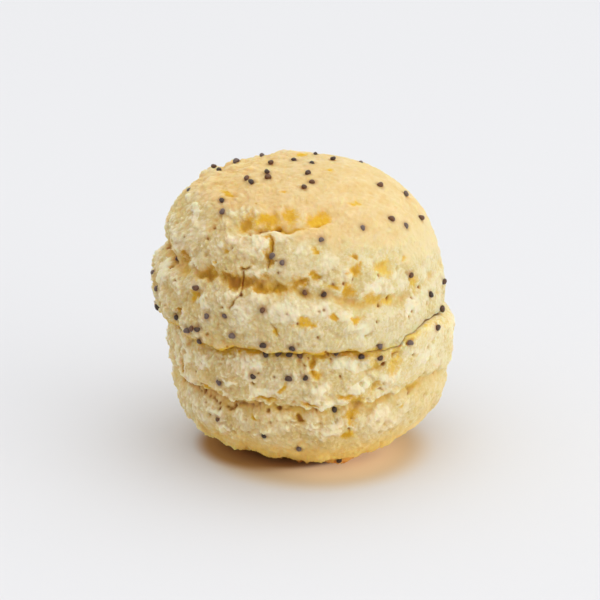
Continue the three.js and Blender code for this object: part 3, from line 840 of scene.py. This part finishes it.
class Finish:
    """A material being made from nodes."""

    def __init__(self, name):
        self.material = bpy.data.materials.new(name)
        self.material.use_nodes = True
        self.tree = self.material.node_tree
        self.tree.nodes.clear()

    def add(self, kind, settings=None, sockets=None):
        """Adds a node. Settings are set first, and then the sockets, by name or number, take numbers, colours or
        wires. Returns the node's outputs as wires."""
        node = self.tree.nodes.new(kind)
        for name, value in (settings or {}).items():
            setattr(node, name, value)
        for name, value in (sockets or {}).items():
            if isinstance(value, Wire):
                self.tree.links.new(value.socket, node.inputs[name])
            else:
                node.inputs[name].default_value = value
        return [Wire(self, socket) for socket in node.outputs]

    def mark(self, name):
        """One of the piece's own marks."""
        return self.add("ShaderNodeAttribute", {"attribute_name": name})[2]

    def span(self, value, low, high):
        """0 where the value is below low, 1 above high, and smooth between."""
        return self.add(
            "ShaderNodeMapRange", {"interpolation_type": "SMOOTHSTEP"}, {0: value, 1: low, 2: high, 3: 0.0, 4: 1.0}
        )[0]

    def mix(self, factor, a, b, blend="MIX"):
        """Colour a where the factor is 0, and b (or a blended with b) where it is 1."""
        return self.add(
            "ShaderNodeMix", {"data_type": "RGBA", "blend_type": blend}, {0: factor, 6: a, 7: b}
        )[2]

    def noise(self, size, detail=3.0, roughness=0.55, shift=0.0):
        """Noise from 0 to 1 on the piece's own coordinates, with blotches of a size in millimetres."""
        place = self.add("ShaderNodeTexCoord")[3]
        moved = self.add("ShaderNodeMapping", {}, {0: place, 1: (shift, shift * 0.7, shift * 1.3)})[0]
        sockets = {"Vector": moved, "Scale": 1 / (size * MM), "Detail": detail, "Roughness": roughness}
        return self.add("ShaderNodeTexNoise", {}, sockets)[0]

    def patches(self, size, reach):
        """A number from 0 to 1 for each of many ragged patches, of a size in millimetres: cells of space, whose walls
        noise moves by up to a reach."""
        place = self.add("ShaderNodeTexCoord")[3]
        push = self.add("ShaderNodeTexNoise", {}, {"Vector": place, "Scale": 1 / (0.8 * size * MM), "Detail": 4.0})[1]
        reach = (reach * MM, reach * MM, reach * MM)
        moved = self.add("ShaderNodeVectorMath", {"operation": "MULTIPLY_ADD"}, {0: push, 1: reach, 2: place})[0]
        return self.add("ShaderNodeTexVoronoi", {}, {"Vector": moved, "Scale": 1 / (size * MM)})[1]

    def done(self, sockets):
        """Closes the material with one Principled shader."""
        shader = self.add("ShaderNodeBsdfPrincipled", {}, sockets)[0]
        self.add("ShaderNodeOutputMaterial", {}, {"Surface": shader})
        return self.material


WHITE_DOUGH = colour(230, 221, 192)
PALE_DOUGH = colour(224, 212, 175)
CREAM_DOUGH = colour(219, 201, 147)
KHAKI_DOUGH = colour(205, 183, 122)
GOLDEN_CRUST = colour(222, 190, 128)
STRAW_CRUST = colour(229, 208, 160)
LEMON_CRUST = colour(228, 210, 163)
# Colours of the painted warm shade in hollows and creases.
OLIVE_SHADE = colour(228, 180, 40)
LEMON_SHADE = colour(232, 194, 72)
ORANGE_SHADE = colour(224, 168, 84)
SHADE_BROWN = colour(158, 90, 22)
SEED_SHADE_BROWN = colour(176, 116, 48)
BAKED_GOLD = colour(252, 206, 108)
BAKED_BROWN = colour(196, 104, 22)
# What the dough's colours are multiplied by: where it is warm, which on the left is painted shade away from the lamp;
# where it is warm and white; and on the right, a painted yellower colour of the lit side.
WARM_TINT = (1.0, 0.895, 0.75, 1.0)
WHITE_LIFT = (1.1, 1.04, 0.95, 1.0)
RIGHT_TINT = (0.965, 0.955, 0.9, 1.0)


def dough_finish(name, crown_gold, warmth, lightness, bottom):
    """Pale dough that turns golden on the crown, with painted warm shade in the hollows and creases, painted brown
    shade deep in the cracks, grooves and pits, painted highlight on raised crumb and blocks, painted shade round the
    seeds, and painted shade on the left, away from the lamp. Warmth is how much yellower the whole is, lightness how
    much lighter, and bottom the levels from which it is baked golden and brown."""
    f = Finish(name)
    hollow, crease, torn, waist, crust = (f.mark(m) for m in ("hollow", "crease", "torn", "waist", "crust"))
    level, warm_shade_spot, brown_shade_spot, pit = (f.mark(m) for m in ("level", "warm_shade", "brown", "pit"))
    pale, side, seed_shade = f.mark("pale"), f.mark("side"), f.mark("seed_shade")
    blotch = f.noise(5.0, 3.0)
    fleck = f.noise(1.3, 4.0, 0.6, 0.31)
    fine = f.noise(0.45, 3.0, 0.6, 0.77)
    warm = f.noise(4.0, 3.0, 0.6, 0.53)
    patch = f.patches(4.6, 2.6)
    # Pale to creamy at random, and creamier in hollows as a little painted shade.
    creamy = f.span(0.6 * blotch + 0.4 * patch + 0.5 * hollow + 1.4 * (fine - 0.5), 0.25, 0.75)
    dough = f.mix(creamy, PALE_DOUGH, CREAM_DOUGH)
    khaki = f.span(f.patches(2.6, 1.8) + 0.5 * (fleck - 0.5) + 0.8 * (fine - 0.5), 0.55, 0.95) * 0.7
    dough = f.mix(khaki, dough, KHAKI_DOUGH)
    # Pale patches at random, and painted highlight on raised crumb (less crease and hollow) and on the blocks.
    pale_and_highlit = 0.7 * (0.4 - patch) - 1.3 * crease - 0.6 * hollow + 0.3 * (fleck - 0.5) + 0.65 * pale
    # Golden to straw crust at random, more golden in hollows as painted shade.
    crown = f.mix(f.span(0.5 * fleck + 0.5 * warm - 0.3 * hollow, 0.3, 0.7), GOLDEN_CRUST, STRAW_CRUST)
    smoothed = f.mix(f.span(level + 6.0 * (blotch - 0.5) + 2.0 * (fleck - 0.5), 13.0, 20.0), LEMON_CRUST, crown)
    browned = f.span(crust * (0.6 + 0.8 * blotch), 0.25, 0.95) * crown_gold
    # Painted shade on the left, away from the lamp (side); on the lower shell also browner dough towards its crown
    # (warmth).
    warming = side * 0.85 + warmth * f.span(level, 2.0, 18.0)
    baked = f.mix(warming, f.mix(browned, dough, smoothed), WARM_TINT, "MULTIPLY")
    white = f.mix(warming, WHITE_DOUGH, WHITE_LIFT, "MULTIPLY")
    baked = f.mix(f.span(pale_and_highlit, 0.1, 0.85) * (1.0 - 0.75 * browned), baked, white)
    # A painted yellower colour on the lit right.
    baked = f.mix(1.0 - side, baked, RIGHT_TINT, "MULTIPLY")
    baked = f.mix(1.0, baked, (lightness, lightness, lightness, 1.0), "MULTIPLY")
    baked = f.mix(f.span(level + 4.0 * (fleck - 0.5), bottom[0], bottom[1]), baked, BAKED_GOLD)
    baked = f.mix(f.span(level + 2.0 * (fleck - 0.5), bottom[1], bottom[2]), baked, BAKED_BROWN)
    # Painted warm shade in the hollows and creases.
    golden = f.mix(f.span(warm, 0.4, 0.6), OLIVE_SHADE, ORANGE_SHADE)
    low = f.span(hollow + crease * 0.8 + 0.5 * (fleck - 0.5) + 0.7 * (warm - 0.5), 0.12, 1.0) * 0.6
    baked = f.mix(low, baked, golden)
    # Painted golden and brown shade of the named hollows, the tear's band and the seam: olive over most of the dough,
    # lemon towards the lit right.
    shaded_left = f.span(side, 0.0, 0.12)
    yellow = f.mix(brown_shade_spot, f.mix(shaded_left, LEMON_SHADE, OLIVE_SHADE), SHADE_BROWN)
    warm_shaded = f.span(warm_shade_spot + 0.9 * (fine - 0.5) + 0.7 * (fleck - 0.5), 0.15, 0.95) * (0.8 + 0.2 * shaded_left)
    baked = f.mix(warm_shaded, baked, yellow)
    # Painted golden-brown contact shade round each seed.
    baked = f.mix(f.span(seed_shade + 0.5 * (fleck - 0.5), 0.15, 1.0) * 0.6, baked, SEED_SHADE_BROWN)
    # Painted brown shade deep in the cracks, the waist groove, creases and pits.
    deep = f.span(torn * 1.9 + 0.45 * waist + 0.7 * crease + 1.6 * pit + 0.6 * (fleck - 0.5), 0.8, 2.0)
    shade = f.mix(deep * 0.9, baked, SHADE_BROWN)
    bump = f.noise(0.7, 5.0, 0.7, 0.13) * 0.7 + f.noise(0.2, 2.0, 0.5, 0.57) * 0.3
    normal = f.add("ShaderNodeBump", {}, {"Strength": 0.8, "Distance": 0.0004, "Height": bump})[0]
    return f.done(
        {
            "Base Color": shade,
            "Roughness": 0.62,
            "Specular IOR Level": 0.3,
            "Subsurface Weight": 0.85,
            "Subsurface Radius": (1.0, 0.6, 0.25),
            "Subsurface Scale": 0.0024,
            "Normal": normal,
        }
    )


def seed_finish():
    """Brown-black poppy seed with a greyish netted skin; a few are reddish brown, and the buried ones greyish lilac,
    partly for a film of dough over them and partly as painted sheen.
    """
    f = Finish("poppy_seed")
    tone = f.mark("tone")
    skin = f.add("ShaderNodeTexCoord")[3]
    net = f.add("ShaderNodeTexVoronoi", {"feature": "DISTANCE_TO_EDGE"}, {"Vector": skin, "Scale": 1 / (0.2 * MM)})[0]
    base = f.mix(f.span(tone, 0.6, 0.95), colour(44, 26, 15), colour(104, 62, 28))
    # Buried seeds greyish lilac: partly a film of dough, partly painted sheen.
    base = f.mix(f.span(0.0 - tone, -0.25, -0.1) * 0.8, base, colour(112, 94, 88))
    base = f.mix(f.span(net, 0.02, 0.2), f.mix(0.2, base, colour(136, 110, 88)), base)
    normal = f.add("ShaderNodeBump", {}, {"Strength": 0.6, "Distance": 0.00006, "Height": f.span(net, 0.0, 0.25)})[0]
    return f.done({"Base Color": base, "Roughness": 0.34, "Specular IOR Level": 0.5, "Normal": normal})


# Painted light and shade on the floor round the foot, each a disc with a soft edge:
PAINTED_WARM_SPOT = (3.0, -3.0, 21.0, 14.0)  # middle, outer radius and full radius of the warm light on the floor
PAINTED_GLOW_SPOT = (3.0, -3.0, 17.0, 11.0)  # the same for the part of it that shines brightest
FOOT_SPOT = (-2.0, 0.0, 11.5, 13.5)  # the same for the dark contact under the foot
PAINTED_SHADOW_SPOT = (-5.0, -1.0, 14.0, 10.5)  # the same for the reddish shade away from the lamp


def painted_glow_floor_finish():
    """Plain pale studio floor, with painted light and shade close round the foot, standing in for the warm light that
    the dough passes on to it: a warm painted tinge, a reddish painted shadow on the side away from the lamp, and a
    painted glow, an emission brightest in front of and to the right of the foot and kept out of the contact under it.
    """
    f = Finish("studio_floor_painted_glow")
    x, y, _ = f.add("ShaderNodeSeparateXYZ", {}, {0: f.add("ShaderNodeTexCoord")[3]})
    x, y = x / MM, y / MM
    near, lit, clear, shade = (
        f.span(((x - right) ** 2.0 + (y - back) ** 2.0) ** 0.5, low, high)
        for right, back, low, high in (PAINTED_WARM_SPOT, PAINTED_GLOW_SPOT, FOOT_SPOT, PAINTED_SHADOW_SPOT)
    )
    # A warm painted tinge near the foot, and a reddish painted shadow on its side away from the lamp.
    tint = f.mix(near, colour(219, 219, 220), colour(219, 202, 172))
    tint = f.mix(shade, tint, colour(186, 146, 94))
    # Painted glow: an emission near the foot, brightest in front and to the right, none in the contact under it.
    light = f.mix(lit * clear * f.span(x, -11.0, 5.0), (0.0, 0.0, 0.0, 1.0), (0.24, 0.19, 0.12, 1.0))
    return f.done(
        {
            "Base Color": tint,
            "Roughness": 0.9,
            "Specular IOR Level": 0.0,
            "Emission Color": light,
            "Emission Strength": 1.0,
        }
    )


# ---- Pieces -----------------------------------------------------------------------------------------------

upper_points, upper_quads, upper_fans, upper_marks = shell_surface(UPPER, CRACKS_UPPER, HOLLOWS_UPPER, BLOCKS_UPPER)
lower_points, lower_quads, lower_fans, lower_marks = shell_surface(LOWER, CRACKS_LOWER, HOLLOWS_LOWER, BLOCKS_LOWER)

places = seed_places({"upper": (upper_points, upper_quads), "lower": (lower_points, lower_quads)})
for points, marks in ((upper_points, upper_marks), (lower_points, lower_marks)):
    marks["seed_shade"] = seed_shade_marks(points, places)

upper_dough = make_mesh("upper_dough", upper_points, (upper_quads, upper_fans), upper_marks)
upper_dough.data.materials.append(dough_finish("upper_dough", 1.0, 0.0, 1.0, (60.0, 61.0, 62.0)))
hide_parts("upper_shell")

lower_dough = make_mesh("lower_dough", lower_points, (lower_quads, lower_fans), lower_marks)
lower_dough.data.materials.append(dough_finish("lower_dough", 0.4, 0.9, 1.07, (14.4, 21.3, 24.0)))
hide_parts("lower_shell")

seed_points, seed_faces, seed_tones = seeds_surface(places)
poppy_seeds = make_mesh("poppy_seeds", seed_points, seed_faces, {"tone": seed_tones})
poppy_seeds.data.materials.append(seed_finish())

for piece in (upper_dough, lower_dough, poppy_seeds):
    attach(piece, "root")

# ---- Studio -----------------------------------------------------------------------------------------------

FLOOR_SIDE = 3000.0


def floor_surface():
    """A flat square, one face."""
    half = FLOOR_SIDE / 2
    return np.array([[-half, -half, 0], [half, -half, 0], [half, half, 0], [-half, half, 0]], float)


floor = make_mesh("studio_floor_painted_glow", floor_surface(), (np.array([[0, 1, 2, 3]]),))
floor.data.materials.append(painted_glow_floor_finish())

# The lamp: azimuth from the front towards the right, elevation, distance, width, height, and power in watts.
LAMP = (62.0, 11.0, 1.2, 1.2, 0.4, 5.9)
LAMP_COLOUR = (1.0, 0.985, 0.96)
SKY_COLOUR = (0.98, 0.985, 1.0, 1.0)
# The sky: its strength all round, and what a broad glow adds, which fades with the cosine of the angle from its
# middle squared. The glow's middle is overhead, leaning to the right.
SKY_LOW = 0.4
GLOW = 1.58
GLOW_AZIMUTH = 78.0
GLOW_ELEVATION = 85.0


def aim(thing, target):
    """Turns a camera or lamp at a place to look at a target."""
    thing.rotation_euler = (Vector(target) - thing.location).to_track_quat("-Z", "Y").to_euler()


def studio():
    """A white sky with a broad glow overhead, one soft low lamp from the right, and the camera."""
    scene = bpy.context.scene
    world = bpy.data.worlds.new("studio_sky")
    world.use_nodes = True
    nodes, links = world.node_tree.nodes, world.node_tree.links
    a, e = math.radians(GLOW_AZIMUTH), math.radians(GLOW_ELEVATION)
    facing = nodes.new("ShaderNodeVectorMath")
    facing.operation = "DOT_PRODUCT"
    facing.inputs[1].default_value = (math.sin(a) * math.cos(e), -math.cos(a) * math.cos(e), math.sin(e))
    links.new(nodes.new("ShaderNodeTexCoord").outputs["Generated"], facing.inputs[0])
    value = facing.outputs["Value"]
    for operation, number, second in (("MAXIMUM", 0.0, None), ("POWER", 2.0, None), ("MULTIPLY_ADD", GLOW, SKY_LOW)):
        node = nodes.new("ShaderNodeMath")
        node.operation = operation
        links.new(value, node.inputs[0])
        node.inputs[1].default_value = number
        if second is not None:
            node.inputs[2].default_value = second
        value = node.outputs[0]
    links.new(value, nodes["Background"].inputs["Strength"])
    nodes["Background"].inputs["Color"].default_value = SKY_COLOUR
    scene.world = world
    scene.view_settings.view_transform = "Standard"

    azimuth, elevation, distance, width, height, power = LAMP
    a, e = math.radians(azimuth), math.radians(elevation)
    lamp = bpy.data.lights.new("side_lamp", "AREA")
    lamp.shape = "RECTANGLE"
    lamp.size = width
    lamp.size_y = height
    lamp.energy = power
    lamp.color = LAMP_COLOUR
    holder = bpy.data.objects.new("side_lamp", lamp)
    holder.location = Vector((math.sin(a) * math.cos(e), -math.cos(a) * math.cos(e), math.sin(e))) * distance
    aim(holder, (0, 0, CAMERA_AIM * MM))
    scene.collection.objects.link(holder)

    down = math.radians(VIEW_ELEVATION)
    camera = bpy.data.objects.new("camera", bpy.data.cameras.new("camera"))
    camera.data.lens = LENS
    camera.data.sensor_width = SENSOR
    camera.data.clip_start = 0.01
    camera.data.clip_end = 20
    camera.location = (
        0,
        -math.cos(down) * CAMERA_DISTANCE * MM,
        (CAMERA_AIM + math.sin(down) * CAMERA_DISTANCE) * MM,
    )
    aim(camera, (0, 0, CAMERA_AIM * MM))
    scene.collection.objects.link(camera)
    scene.camera = camera


studio()
